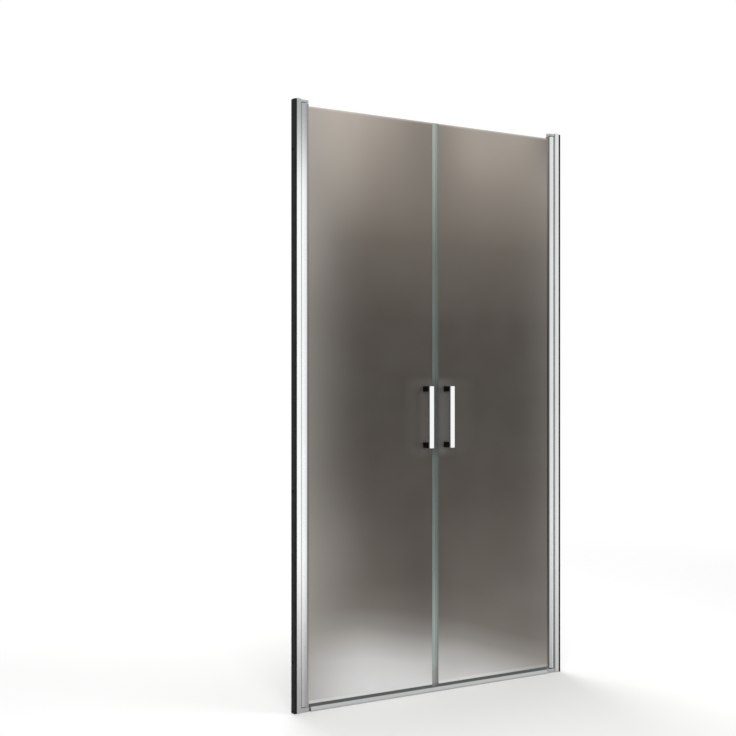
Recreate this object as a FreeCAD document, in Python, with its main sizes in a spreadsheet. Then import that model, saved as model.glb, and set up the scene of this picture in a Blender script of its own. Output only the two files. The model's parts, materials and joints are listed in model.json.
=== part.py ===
import FreeCAD, Part
import os
import re
import Sketcher

# Double swing shower door for a niche, closed at rest.
# X runs along the door from the left wall to the right wall, Y runs into the shower, Z is up.
# The origin is the middle of the door's underside, in the middle plane of the glass.
# The left half is modelled, and the right half is its mirror image across X = 0.

# Driving dimensions in millimetres: alias, size, what it measures.
DRIVING_SIZES = (
    ("overall_width", 1000, "wall to wall"),
    ("overall_height", 1800, "underside to the top of the profile caps"),
    ("wall_gasket_thickness", 8, "bedding gasket between wall and wall profile"),
    ("wall_gasket_inset", 0.3, "step from the wall profile's face to the gasket's face"),
    ("gasket_hole_margin", 1, "extra radius of the gasket's holes around the wall screws"),
    ("wall_profile_reach", 14, "wall profile along the door, back of web to edge of flanges"),
    ("wall_profile_depth", 22, "wall profile across the door, over both flanges"),
    ("wall_profile_web", 2, "wall profile's web"),
    ("wall_profile_flange", 1.6, "wall profile's flanges"),
    ("wall_profile_rounding", 1.2, "rounding along the flanges' outer edges"),
    ("wall_hole_radius", 3, "hole for a wall screw"),
    ("wall_hole_end_distance", 148.5, "outer wall screw holes from the ends of the wall profile"),
    ("wall_hole_inner_spacing", 500, "between the inner pair of wall screw holes"),
    ("profile_cap_thickness", 3, "cover on the top end of the wall profile"),
    ("profile_cap_rounding", 1.2, "rounding of the cover's upper edges"),
    ("cap_tongue_thickness", 1.4, "tongue that holds the cover in the profile"),
    ("cap_tongue_length", 12, "tongue's reach down into the profile"),
    ("jamb_clearance", 0.3, "between the jamb profile and the wall profile's flanges"),
    ("jamb_back_gap", 2, "wall profile's web to the jamb profile's back edges"),
    ("jamb_wall", 1.6, "jamb profile's walls"),
    ("jamb_lip_reach", 2.2, "jamb profile's lips beyond the wall profile's flanges"),
    ("swing_clearance", 1.5, "jamb profile's lips to the leaf's jaws at a right angle"),
    ("trough_clearance", 0.8, "hinge profile to the jamb profile's trough"),
    ("sill_height", 13, "threshold rail and bottom brackets"),
    ("threshold_foot_depth", 22, "threshold rail across the door, at its foot"),
    ("threshold_foot_height", 4, "upright part of the threshold rail's sides"),
    ("threshold_crown_depth", 13, "threshold rail across the door, at its top"),
    ("threshold_rounding", 2, "rounding of the threshold rail's upper edges"),
    ("threshold_end_gap", 0.4, "threshold rail to each bottom bracket"),
    ("top_bracket_height", 7, "top bracket outside the jamb profile"),
    ("top_bracket_reach", 19, "pivot axis to the tip of a top bracket"),
    ("bottom_bracket_reach", 23, "pivot axis to the tip of a bottom bracket"),
    ("bracket_depth", 17, "bracket across the door, beyond the jamb profile"),
    ("bracket_rounding", 1, "rounding of a bracket's exposed edges"),
    ("plug_clearance", 0.3, "bracket plug to the jamb profile's walls"),
    ("plug_length", 40, "bracket plug along the jamb profile"),
    ("pin_radius", 3.5, "pivot pin"),
    ("pin_head_radius", 5.5, "head of a pivot pin"),
    ("pin_head_height", 2, "head of a pivot pin"),
    ("pin_engagement", 18, "pivot pin beyond its bracket"),
    ("pin_socket_radius", 2.3, "hexagon socket in a pin's head, to its corners"),
    ("pin_socket_depth", 3, "hexagon socket in a pin's head"),
    ("seat_clearance", 0.03, "radial, for pieces pressed or screwed into a bore"),
    ("running_clearance", 0.05, "radial, between pivot pin and bush"),
    ("thrust_gap", 0.3, "bush flange to bracket"),
    ("hinge_radius", 9, "round part of the hinge profile"),
    ("hinge_core_radius", 6, "bore of the hinge profile"),
    ("hinge_core_wall", 1.5, "between the bore and the glass slot"),
    ("jaw_wall", 1.8, "hinge profile's jaws beside the glass slot"),
    ("jaw_grip", 6.5, "depth of the glass slot"),
    ("jaw_rounding", 1, "rounding of the jaws' edges"),
    ("bush_length", 20, "bush inside the hinge profile"),
    ("bush_flange_radius", 8.2, "flange of a bush"),
    ("bottom_bush_flange", 2, "thickness of the bottom bush's flange"),
    ("top_bush_flange", 2, "thickness of the top bush's flange"),
    ("glass_thickness", 6, "leaf's glass"),
    ("glass_bevel", 0.6, "ground bevel along the glass edges"),
    ("glass_top_step", 7, "top of the hinge profile to the top of the glass"),
    ("glazing_gasket", 1, "gasket between glass and hinge profile"),
    ("glazing_lip", 5.5, "gasket beyond the jaws"),
    ("bottom_seal_gap", 0.8, "threshold rail to the bottom seal's lips"),
    ("bottom_seal_drop", 8.2, "glass edge to the tips of the bottom seal's lips"),
    ("bottom_seal_grip", 9, "bottom seal up the glass"),
    ("bottom_seal_wall", 1.2, "bottom seal's walls and lips"),
    ("bottom_seal_spread", 3.2, "lip tip outside the root of the lip"),
    ("bottom_seal_end_gap", 0.6, "bottom seal to its neighbours"),
    ("seam_gap", 0.4, "between the two leaves' magnet seals"),
    ("seal_nose", 7.2, "magnet seal beyond the glass edge"),
    ("seal_grip", 4.5, "magnet seal over the glass"),
    ("seal_wall", 1.3, "magnet seal's walls"),
    ("seal_rounding", 0.8, "rounding of the magnet seal's edges"),
    ("magnet_clearance", 0.1, "magnet strip in its chamber"),
    ("magnet_end_inset", 5, "magnet strip short of the seal's ends"),
    ("handle_height", 860, "underside of the door to the middle of the handles"),
    ("handle_from_seam", 39, "middle of the door to the middle of a handle"),
    ("bar_length", 193, "handle bar"),
    ("bar_width", 16, "handle bar along the door"),
    ("bar_thickness", 8.5, "handle bar across the door"),
    ("bar_rounding", 2, "rounding of a handle bar's edges"),
    ("post_spacing", 175, "between the posts of a handle"),
    ("post_width", 15, "post along the door"),
    ("post_height", 17, "post up the door"),
    ("post_length", 31, "washer to bar"),
    ("post_rounding", 2, "rounding of a post's long edges"),
    ("spigot_radius", 3, "spigot of a post"),
    ("spigot_length", 4, "spigot of a post in its bar"),
    ("bore_end_gap", 0.5, "spare depth of a blind bore"),
    ("stud_radius", 2.5, "stud through the glass"),
    ("stud_engagement", 15, "stud in each post"),
    ("sleeve_radius", 4.4, "sleeve in the glass hole"),
    ("sleeve_clearance", 0.1, "radial, sleeve in the glass"),
    ("washer_radius", 5.8, "washer between post and glass"),
    ("washer_thickness", 1, "washer between post and glass"),
    ("grub_radius", 1.5, "grub screw that locks an inner post to its stud"),
    ("grub_distance", 9, "grub screw from the washer side of the post"),
    ("grub_socket_radius", 0.9, "hexagon socket in a grub screw, to its corners"),
    ("grub_socket_depth", 1.6, "hexagon socket in a grub screw"),
    ("screw_radius", 2, "jamb screw"),
    ("screw_length", 14, "jamb screw under its head"),
    ("screw_head_radius", 3.2, "head of a jamb screw, at its foot"),
    ("screw_head_top_radius", 2.6, "head of a jamb screw, at its top"),
    ("screw_head_height", 2.2, "head of a jamb screw"),
    ("screw_from_edge", 6, "jamb screw from the edge of the wall profile's flange"),
    ("screw_end_distance", 20, "end jamb screws from the ends of the jamb profile"),
    ("screw_cap_radius", 4.8, "foot of a screw cap"),
    ("screw_cap_top_radius", 3.8, "top of a screw cap"),
    ("screw_cap_height", 3.8, "screw cap"),
    ("screw_cap_clearance", 0.2, "around the screw head in its cap"),
)

doc = FreeCAD.newDocument("shower_door")
sheet = doc.addObject("Spreadsheet::Sheet", "Sizes")
for row, (alias, size, meaning) in enumerate(DRIVING_SIZES, start=1):
    sheet.set(f"A{row}", meaning)
    sheet.set(f"B{row}", str(size))
    sheet.setAlias(f"B{row}", alias)
doc.recompute()

# Places along X on the left half, from the wall to the seam.
WALL = "(-overall_width / 2)"
PROFILE_BACK = f"({WALL} + wall_gasket_thickness)"
WEB_FACE = f"({PROFILE_BACK} + wall_profile_web)"
JAMB_BACK = f"({WEB_FACE} + jamb_back_gap)"
PROFILE_EDGE = f"({PROFILE_BACK} + wall_profile_reach)"
JAMB_EDGE = f"({PROFILE_EDGE} + jamb_lip_reach)"
SLOT_HALF = "(glass_thickness / 2 + glazing_gasket)"
JAW_HALF = f"({SLOT_HALF} + jaw_wall)"
PIVOT = f"({JAMB_EDGE} + swing_clearance + {JAW_HALF})"
SLOT_BOTTOM = f"({PIVOT} + hinge_core_radius + hinge_core_wall)"
GLASS_HINGE_EDGE = f"({SLOT_BOTTOM} + glazing_gasket)"
JAW_END = f"({SLOT_BOTTOM} + jaw_grip)"
GASKET_END = f"({JAW_END} + glazing_lip)"
TOP_BRACKET_TIP = f"({PIVOT} + top_bracket_reach)"
BOTTOM_BRACKET_TIP = f"({PIVOT} + bottom_bracket_reach)"
SEAL_FACE = "(-seam_gap / 2)"
GLASS_SEAM_EDGE = f"({SEAL_FACE} - seal_nose)"
SEAL_BACK = f"({GLASS_SEAM_EDGE} - seal_grip)"
CHAMBER_X = (f"({GLASS_SEAM_EDGE} + seal_wall)", f"({SEAL_FACE} - seal_wall)")
HANDLE = "(-handle_from_seam)"
SCREW_LINE = f"({PROFILE_EDGE} - screw_from_edge)"

# Half depths along Y, and distances of the handle's pieces from the glass plane.
PROFILE_HALF = "(wall_profile_depth / 2)"
CHANNEL_HALF = f"({PROFILE_HALF} - wall_profile_flange)"
JAMB_HALF = f"({CHANNEL_HALF} - jamb_clearance)"
JAMB_ROOM_HALF = f"({JAMB_HALF} - jamb_wall)"
TROUGH_RADIUS = "(hinge_radius + trough_clearance)"
GLASS_HALF = "(glass_thickness / 2)"
SEAL_HALF = f"({GLASS_HALF} + seal_wall)"
CHAMBER_HALF = f"({SEAL_HALF} - seal_wall)"
POST_FOOT = f"({GLASS_HALF} + washer_thickness)"
GRUB_LINE = f"({POST_FOOT} + grub_distance)"
BAR_BACK = f"({POST_FOOT} + post_length)"
BAR_FACE = f"({BAR_BACK} + bar_thickness)"

# Heights along Z, from the underside to the top.
FLOOR = "0"
TOP = "overall_height"
PROFILE_TOP = f"({TOP} - profile_cap_thickness)"
TOP_BRACKET_FOOT = f"({PROFILE_TOP} - top_bracket_height)"
HINGE_FOOT = "(sill_height + thrust_gap + bottom_bush_flange)"
HINGE_TOP = f"({TOP_BRACKET_FOOT} - thrust_gap - top_bush_flange)"
LIP_TIP = "(sill_height + bottom_seal_gap)"
GLASS_FOOT = f"({LIP_TIP} + bottom_seal_drop)"
GLASS_TOP = f"({HINGE_TOP} - glass_top_step)"
POST_HEIGHTS = ("(handle_height - post_spacing / 2)", "(handle_height + post_spacing / 2)")
SCREW_HEIGHTS = (
    "(sill_height + screw_end_distance)",
    f"((sill_height + {TOP_BRACKET_FOOT}) / 2)",
    f"({TOP_BRACKET_FOOT} - screw_end_distance)",
)
WALL_HOLE_HEIGHTS = (
    "wall_hole_end_distance",
    f"({PROFILE_TOP} / 2 - wall_hole_inner_spacing / 2)",
    f"({PROFILE_TOP} / 2 + wall_hole_inner_spacing / 2)",
    f"({PROFILE_TOP} - wall_hole_end_distance)",
)

# How far a cutting shape runs past the faces that it cuts, so that no two faces coincide.
OVERSHOOT = "1"

# Largest share of a wall's thickness that the rounding of its edge may take.
WALL_SHARE = 0.8

# Distance in millimetres below which two places count as the same.
SAME_PLACE = 1e-4

# A cylinder stands along Z until one of these turns lays it along another axis.
TURNS = {
    "x": FreeCAD.Rotation(FreeCAD.Vector(0, 1, 0), 90),
    "y": FreeCAD.Rotation(FreeCAD.Vector(1, 0, 0), -90),
    "z": FreeCAD.Rotation(),
}

# The plane of a section, the letters of its two directions, and the direction it is drawn out along.
PLANES = {"XY_Plane": ("X", "Y", "z"), "YZ_Plane": ("Y", "Z", "x"), "XZ_Plane": ("X", "Z", "y")}

# The plane that faces against its axis, so that a section in it is drawn out backwards.
BACKWARD_PLANE = "XZ_Plane"


def value(expression):
    """The length that an expression of aliases gives now."""
    return float(sheet.evalExpression(expression))


def bind(feature, prop, expression):
    """Tie a property of a feature to the sizes that an expression names."""
    feature.setExpression(prop, re.sub(r"\b[a-z]\w*\b(?!\()", r"Sizes.\g<0>", expression))


def both_sides(half):
    """A range that reaches equally far either side of zero."""
    return f"-{half}", half


def past(span):
    """A range that overshoots both ends of another one."""
    low, high = span
    return f"{low} - {OVERSHOOT}", f"{high} + {OVERSHOOT}"


def within(rounding, wall):
    """A rounding that leaves some of its wall flat."""
    return f"min({rounding}; {wall} * {WALL_SHARE})"


def box(name, x, y, z):
    """A block that fills a range along each axis."""
    block = doc.addObject("Part::Box", name)
    for side, axis, (low, high) in zip(("Length", "Width", "Height"), "xyz", (x, y, z)):
        bind(block, side, f"({high}) - ({low})")
        bind(block, f"Placement.Base.{axis}", low)
    return block


def lay(solid, x, y, z):
    """Lay a solid that stands along Z along the one axis that is given as a range."""
    place = {"x": x, "y": y, "z": z}
    axis = next(letter for letter in place if isinstance(place[letter], tuple))
    span = place[axis]
    place[axis] = span[0]
    solid.Placement = FreeCAD.Placement(FreeCAD.Vector(), TURNS[axis])
    bind(solid, "Height", f"({span[1]}) - ({span[0]})")
    for letter, where in place.items():
        bind(solid, f"Placement.Base.{letter}", where)


def rod(name, x, y, z, radius):
    """A round bar along the axis that is given as a range."""
    bar = doc.addObject("Part::Cylinder", name)
    lay(bar, x, y, z)
    bind(bar, "Radius", radius)
    return bar


def taper(name, x, y, z, first_radius, last_radius):
    """A round bar whose radius changes evenly along the axis that is given as a range."""
    cone = doc.addObject("Part::Cone", name)
    lay(cone, x, y, z)
    bind(cone, "Radius1", first_radius)
    bind(cone, "Radius2", last_radius)
    return cone


def socket(name, x, y, z, radius):
    """A hexagon bar along the axis that is given as a range, to cut a socket for a key."""
    bar = doc.addObject("Part::Prism", name)
    bar.Polygon = 6
    lay(bar, x, y, z)
    bind(bar, "Circumradius", radius)
    return bar


def fuse(name, *solids):
    """One solid from several that touch."""
    union = doc.addObject("Part::MultiFuse", name)
    union.Shapes = list(solids)
    union.Refine = True
    return union


def cut(name, solid, *tools):
    """A solid less one or more others."""
    tool = tools[0] if len(tools) == 1 else fuse(f"{name}_tools", *tools)
    difference = doc.addObject("Part::Cut", name)
    difference.Base = solid
    difference.Tool = tool
    return difference


def group(name, solids):
    """Alike pieces that share a node, each still a solid of its own."""
    set_of_pieces = doc.addObject("Part::Compound", name)
    set_of_pieces.Links = list(solids)
    return set_of_pieces


def draw_outline(sketch, corners):
    """A closed polygon whose every corner is held at its two expressions."""
    points = [FreeCAD.Vector(value(across), value(up), 0) for across, up in corners]
    first = sketch.GeometryCount
    for start, end in zip(points, points[1:] + points[:1]):
        sketch.addGeometry(Part.LineSegment(start, end), False)
    for step, corner in enumerate(corners):
        line = first + step
        following = first + (step + 1) % len(corners)
        sketch.addConstraint(Sketcher.Constraint("Coincident", line, 2, following, 1))
        for kind, place in zip(("DistanceX", "DistanceY"), corner):
            index = sketch.addConstraint(Sketcher.Constraint(kind, -1, 1, line, 1, value(place)))
            bind(sketch, f"Constraints[{index}]", place)


def extrusion(name, plane, span, *outlines):
    """A body drawn out over a range from an outline, with any further outlines as holes."""
    body = doc.addObject("PartDesign::Body", name)
    sketch = body.newObject("Sketcher::SketchObject", f"{name}_section")
    origin_plane = next(f for f in body.Origin.OriginFeatures if f.Role == plane)
    sketch.AttachmentSupport = [(origin_plane, "")]
    sketch.MapMode = "FlatFace"
    for corners in outlines:
        draw_outline(sketch, corners)
    pad = body.newObject("PartDesign::Pad", f"{name}_pad")
    pad.Profile = sketch
    pad.Reversed = plane == BACKWARD_PLANE
    bind(pad, "Length", f"({span[1]}) - ({span[0]})")
    bind(body, f"Placement.Base.{PLANES[plane][2]}", span[0])
    doc.recompute()
    return body


def rectangle(across, up):
    """The outline that fills a range in each direction of its plane."""
    return [(across[0], up[0]), (across[1], up[0]), (across[1], up[1]), (across[0], up[1])]


def dress(kind, body, edges, size_name, size):
    """Add a fillet or chamfer to numbered edges of a body's last feature."""
    base = body.Tip
    feature = body.newObject(f"PartDesign::{kind}", f"{base.Name}_{kind.lower()}")
    feature.Base = (base, [f"Edge{number}" for number in edges])
    bind(feature, size_name, size)
    body.Tip = feature
    doc.recompute()


def long_edges(body, plane, corners):
    """Numbers of the edges that an extrusion draws out from some corners of its section."""
    letters = PLANES[plane][:2]
    wanted = [tuple(round(value(place), 4) for place in corner) for corner in corners]

    def corner_of(vertex):
        return tuple(round(getattr(vertex, letter), 4) for letter in letters)

    numbers = []
    for number, edge in enumerate(body.Tip.Shape.Edges, start=1):
        ends = [corner_of(vertex) for vertex in edge.Vertexes]
        if len(ends) == 2 and ends[0] == ends[1] and ends[0] in wanted:
            numbers.append(number)
    return numbers


def end_edges(body, height):
    """Numbers of the edges that lie at one height of an upright extrusion."""
    level = value(height) - body.Placement.Base.z
    return [
        number
        for number, edge in enumerate(body.Tip.Shape.Edges, start=1)
        if all(abs(vertex.Z - level) < SAME_PLACE for vertex in edge.Vertexes)
    ]


def round_long_edges(body, corners, radius, plane="XY_Plane"):
    """Round an extrusion along some corners of its section."""
    dress("Fillet", body, long_edges(body, plane, corners), "Radius", radius)


def wall_gasket():
    """Black bedding strip behind the wall profile, with room for the wall screws."""
    half = f"({PROFILE_HALF} - wall_gasket_inset)"
    strip = box("wall_gasket_strip", (WALL, PROFILE_BACK), both_sides(half), (FLOOR, PROFILE_TOP))
    through = past((WALL, PROFILE_BACK))
    holes = [
        rod(f"wall_gasket_hole_{i}", through, "0", z, "wall_hole_radius + gasket_hole_margin")
        for i, z in enumerate(WALL_HOLE_HEIGHTS)
    ]
    return cut("wall_gasket", strip, *holes)


def wall_profile():
    """Channel screwed to the wall, open towards the leaf."""
    outline = [
        (PROFILE_BACK, f"-{PROFILE_HALF}"),
        (PROFILE_EDGE, f"-{PROFILE_HALF}"),
        (PROFILE_EDGE, f"-{CHANNEL_HALF}"),
        (WEB_FACE, f"-{CHANNEL_HALF}"),
        (WEB_FACE, CHANNEL_HALF),
        (PROFILE_EDGE, CHANNEL_HALF),
        (PROFILE_EDGE, PROFILE_HALF),
        (PROFILE_BACK, PROFILE_HALF),
    ]
    channel = extrusion("wall_channel", "XY_Plane", (FLOOR, PROFILE_TOP), outline)
    edges = [(PROFILE_EDGE, f"-{PROFILE_HALF}"), (PROFILE_EDGE, PROFILE_HALF)]
    round_long_edges(channel, edges, within("wall_profile_rounding", "wall_profile_flange"))
    through = past((PROFILE_BACK, WEB_FACE))
    wall_holes = [
        rod(f"wall_hole_{i}", through, "0", z, "wall_hole_radius")
        for i, z in enumerate(WALL_HOLE_HEIGHTS)
    ]
    return cut("wall_profile", channel, *wall_holes, *screw_holes("flange", CHANNEL_HALF, PROFILE_HALF))


def screw_holes(name, inner, outer):
    """Holes for the jamb screws through a wall on the shower's side."""
    return [
        rod(f"{name}_screw_hole_{i}", SCREW_LINE, past((inner, outer)), z, "screw_radius + seat_clearance")
        for i, z in enumerate(SCREW_HEIGHTS)
    ]


def profile_cap():
    """Cover on the wall profile's top end, held by a tongue behind the jamb profile."""
    footprint = rectangle((PROFILE_BACK, PROFILE_EDGE), both_sides(PROFILE_HALF))
    plate = extrusion("profile_cap_plate", "XY_Plane", (PROFILE_TOP, TOP), footprint)
    dress("Fillet", plate, end_edges(plate, TOP), "Radius", "profile_cap_rounding")
    tongue_back = f"({WEB_FACE} + (jamb_back_gap - cap_tongue_thickness) / 2)"
    tongue = box(
        "profile_cap_tongue",
        (tongue_back, f"{tongue_back} + cap_tongue_thickness"),
        both_sides(JAMB_ROOM_HALF),
        (f"{PROFILE_TOP} - cap_tongue_length", PROFILE_TOP),
    )
    return fuse("profile_cap", plate, tongue)


def jamb_profile():
    """Profile that slides in the wall profile and wraps the hinge profile with a trough."""
    span = ("sill_height", TOP_BRACKET_FOOT)
    blank = box("jamb_blank", (JAMB_BACK, JAMB_EDGE), both_sides(JAMB_HALF), span)
    room = box(
        "jamb_room",
        (f"{JAMB_BACK} - {OVERSHOOT}", f"{JAMB_EDGE} - jamb_wall"),
        both_sides(JAMB_ROOM_HALF),
        past(span),
    )
    trough_wall = rod("trough_wall", PIVOT, "0", past(past(span)), f"{TROUGH_RADIUS} + jamb_wall")
    trough = rod("trough", PIVOT, "0", past(span), TROUGH_RADIUS)
    hollow = cut("jamb_hollow", room, trough_wall)
    return cut("jamb_profile", blank, hollow, trough, *screw_holes("jamb", JAMB_ROOM_HALF, JAMB_HALF))


def bracket(name, tip, span, plug_span, exposed, pin_head_span, screw_height):
    """Block on an end of the jamb profile that carries a pivot pin beyond the profile's lips."""
    seat = rectangle((JAMB_BACK, JAMB_EDGE), both_sides(JAMB_HALF))
    seat_block = extrusion(f"{name}_seat", "XY_Plane", span, seat)
    arm = rectangle((JAMB_EDGE, tip), both_sides("(bracket_depth / 2)"))
    arm_block = extrusion(f"{name}_arm", "XY_Plane", span, arm)
    nose = [(tip, "-(bracket_depth / 2)"), (tip, "(bracket_depth / 2)")]
    round_long_edges(arm_block, nose, f"min(bracket_depth / 2; {tip} - {PIVOT}) - bracket_rounding")
    rim = [n for n in end_edges(arm_block, exposed) if is_outside(arm_block, n)]
    dress("Fillet", arm_block, rim, "Radius", "bracket_rounding")
    plug = box(
        f"{name}_plug",
        (f"{JAMB_BACK} + plug_clearance", f"{PIVOT} - {TROUGH_RADIUS} - jamb_wall - plug_clearance"),
        both_sides(f"({JAMB_ROOM_HALF} - plug_clearance)"),
        plug_span,
    )
    pin_bore = rod(f"{name}_pin_bore", PIVOT, "0", past(span), "pin_radius + seat_clearance")
    head_bore = rod(f"{name}_head_bore", PIVOT, "0", pin_head_span, "pin_head_radius + seat_clearance")
    screw_bore = rod(
        f"{name}_screw_bore",
        SCREW_LINE,
        (f"{PROFILE_HALF} - screw_length - bore_end_gap", PROFILE_HALF),
        screw_height,
        "screw_radius + seat_clearance",
    )
    block = fuse(f"{name}_block", seat_block, arm_block, plug)
    return cut(name, block, pin_bore, head_bore, screw_bore)


def is_outside(body, number):
    """Whether an edge of a bracket's arm shows, so isn't on the face against the seat."""
    edge = body.Tip.Shape.Edges[number - 1]
    return any(vertex.X > value(JAMB_EDGE) + SAME_PLACE for vertex in edge.Vertexes)


def bottom_bracket():
    """Bracket under the jamb profile that carries the leaf."""
    span = (FLOOR, "sill_height")
    plug_span = ("sill_height", "sill_height + plug_length")
    head_span = (f"{FLOOR} - {OVERSHOOT}", "pin_head_height")
    return bracket(
        "bottom_bracket", BOTTOM_BRACKET_TIP, span, plug_span, "sill_height", head_span, SCREW_HEIGHTS[0]
    )


def top_bracket():
    """Bracket under the profile cap that guides the leaf."""
    span = (TOP_BRACKET_FOOT, PROFILE_TOP)
    plug_span = (f"{TOP_BRACKET_FOOT} - plug_length", TOP_BRACKET_FOOT)
    head_span = (f"{PROFILE_TOP} - pin_head_height", f"{PROFILE_TOP} + {OVERSHOOT}")
    return bracket(
        "top_bracket", TOP_BRACKET_TIP, span, plug_span, PROFILE_TOP, head_span, SCREW_HEIGHTS[2]
    )


def bottom_pivot_pin():
    """Headed pin that stands in the bottom bracket."""
    head = rod("bottom_pin_head", PIVOT, "0", (FLOOR, "pin_head_height"), "pin_head_radius")
    shank = rod("bottom_pin_shank", PIVOT, "0", (FLOOR, "sill_height + pin_engagement"), "pin_radius")
    key_span = (f"{FLOOR} - {OVERSHOOT}", "pin_socket_depth")
    key = socket("bottom_pin_socket", PIVOT, "0", key_span, "pin_socket_radius")
    return cut("bottom_pivot_pin", fuse("bottom_pin_blank", head, shank), key)


def top_pivot_pin():
    """Headed pin that hangs in the top bracket."""
    head_span = (f"{PROFILE_TOP} - pin_head_height", PROFILE_TOP)
    shank_span = (f"{TOP_BRACKET_FOOT} - pin_engagement", PROFILE_TOP)
    head = rod("top_pin_head", PIVOT, "0", head_span, "pin_head_radius")
    shank = rod("top_pin_shank", PIVOT, "0", shank_span, "pin_radius")
    key_span = (f"{PROFILE_TOP} - pin_socket_depth", f"{PROFILE_TOP} + {OVERSHOOT}")
    key = socket("top_pin_socket", PIVOT, "0", key_span, "pin_socket_radius")
    return cut("top_pivot_pin", fuse("top_pin_blank", head, shank), key)


def jamb_screws():
    """Pan head screws that lock the jamb profile and the bracket plugs to the wall profile."""
    screws = []
    for i, z in enumerate(SCREW_HEIGHTS):
        shank_span = (f"{PROFILE_HALF} - screw_length", PROFILE_HALF)
        head_span = (PROFILE_HALF, f"{PROFILE_HALF} + screw_head_height")
        shank = rod(f"jamb_screw_shank_{i}", SCREW_LINE, shank_span, z, "screw_radius")
        head = taper(
            f"jamb_screw_head_{i}", SCREW_LINE, head_span, z, "screw_head_radius", "screw_head_top_radius"
        )
        screws.append(fuse(f"jamb_screw_{i}", shank, head))
    return group("jamb_screws", screws)


def screw_caps():
    """Hollow covers over the heads of the jamb screws."""
    caps = []
    for i, z in enumerate(SCREW_HEIGHTS):
        span = (PROFILE_HALF, f"{PROFILE_HALF} + screw_cap_height")
        room_top = f"{PROFILE_HALF} + screw_head_height + screw_cap_clearance"
        room_span = (f"{PROFILE_HALF} - {OVERSHOOT}", room_top)
        room_radius = "screw_head_radius + screw_cap_clearance"
        shell = taper(f"cap_shell_{i}", SCREW_LINE, span, z, "screw_cap_radius", "screw_cap_top_radius")
        room = rod(f"cap_room_{i}", SCREW_LINE, room_span, z, room_radius)
        caps.append(cut(f"screw_cap_{i}", shell, room))
    return group("screw_caps", caps)


def hinge_profile():
    """Round profile on the pivot axis whose jaws hold the glass."""
    span = (HINGE_FOOT, HINGE_TOP)
    barrel = rod("hinge_barrel", PIVOT, "0", span, "hinge_radius")
    jaws = extrusion("hinge_jaws", "XY_Plane", span, rectangle((PIVOT, JAW_END), both_sides(JAW_HALF)))
    jaw_edges = [(JAW_END, f"-{JAW_HALF}"), (JAW_END, JAW_HALF)]
    round_long_edges(jaws, jaw_edges, within("jaw_rounding", "jaw_wall"))
    core = rod("hinge_core", PIVOT, "0", past(span), "hinge_core_radius")
    slot = box("glass_slot", (SLOT_BOTTOM, f"{JAW_END} + {OVERSHOOT}"), both_sides(SLOT_HALF), past(span))
    return cut("hinge_profile", fuse("hinge_blank", barrel, jaws), core, slot)


def bush(name, flange_span, sleeve_span):
    """Flanged bush pressed into the hinge profile, running on a pivot pin."""
    flange = rod(f"{name}_flange", PIVOT, "0", flange_span, "bush_flange_radius")
    sleeve = rod(f"{name}_sleeve", PIVOT, "0", sleeve_span, "hinge_core_radius - seat_clearance")
    low = min(flange_span[0], sleeve_span[0], key=value)
    high = max(flange_span[1], sleeve_span[1], key=value)
    bore = rod(f"{name}_bore", PIVOT, "0", past((low, high)), "pin_radius + running_clearance")
    return cut(name, fuse(f"{name}_blank", flange, sleeve), bore)


def bottom_bush():
    """Bush whose flange is the thrust washer under the leaf."""
    flange_span = (f"{HINGE_FOOT} - bottom_bush_flange", HINGE_FOOT)
    return bush("bottom_bush", flange_span, (HINGE_FOOT, f"{HINGE_FOOT} + bush_length"))


def top_bush():
    """Bush at the top of the leaf."""
    flange_span = (HINGE_TOP, f"{HINGE_TOP} + top_bush_flange")
    return bush("top_bush", flange_span, (f"{HINGE_TOP} - bush_length", HINGE_TOP))


def glass():
    """Pane of the leaf, with bevelled long edges and two holes for the handle."""
    section = rectangle((GLASS_HINGE_EDGE, GLASS_SEAM_EDGE), both_sides(GLASS_HALF))
    pane = extrusion("pane", "XY_Plane", (GLASS_FOOT, GLASS_TOP), section)
    seam_edges = long_edges(pane, "XY_Plane", section)
    dress("Chamfer", pane, seam_edges, "Size", "glass_bevel")
    holes = [
        rod(f"glass_hole_{i}", HANDLE, past(both_sides(GLASS_HALF)), z, "sleeve_radius + sleeve_clearance")
        for i, z in enumerate(POST_HEIGHTS)
    ]
    return cut("glass", pane, *holes)


def glazing_gasket():
    """Dark channel that beds the glass in the hinge profile and shows as a line beside it."""
    outline = [
        (SLOT_BOTTOM, f"-{SLOT_HALF}"),
        (GASKET_END, f"-{SLOT_HALF}"),
        (GASKET_END, f"-{GLASS_HALF}"),
        (GLASS_HINGE_EDGE, f"-{GLASS_HALF}"),
        (GLASS_HINGE_EDGE, GLASS_HALF),
        (GASKET_END, GLASS_HALF),
        (GASKET_END, SLOT_HALF),
        (SLOT_BOTTOM, SLOT_HALF),
    ]
    return extrusion("glazing_gasket", "XY_Plane", (HINGE_FOOT, HINGE_TOP), outline)


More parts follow.
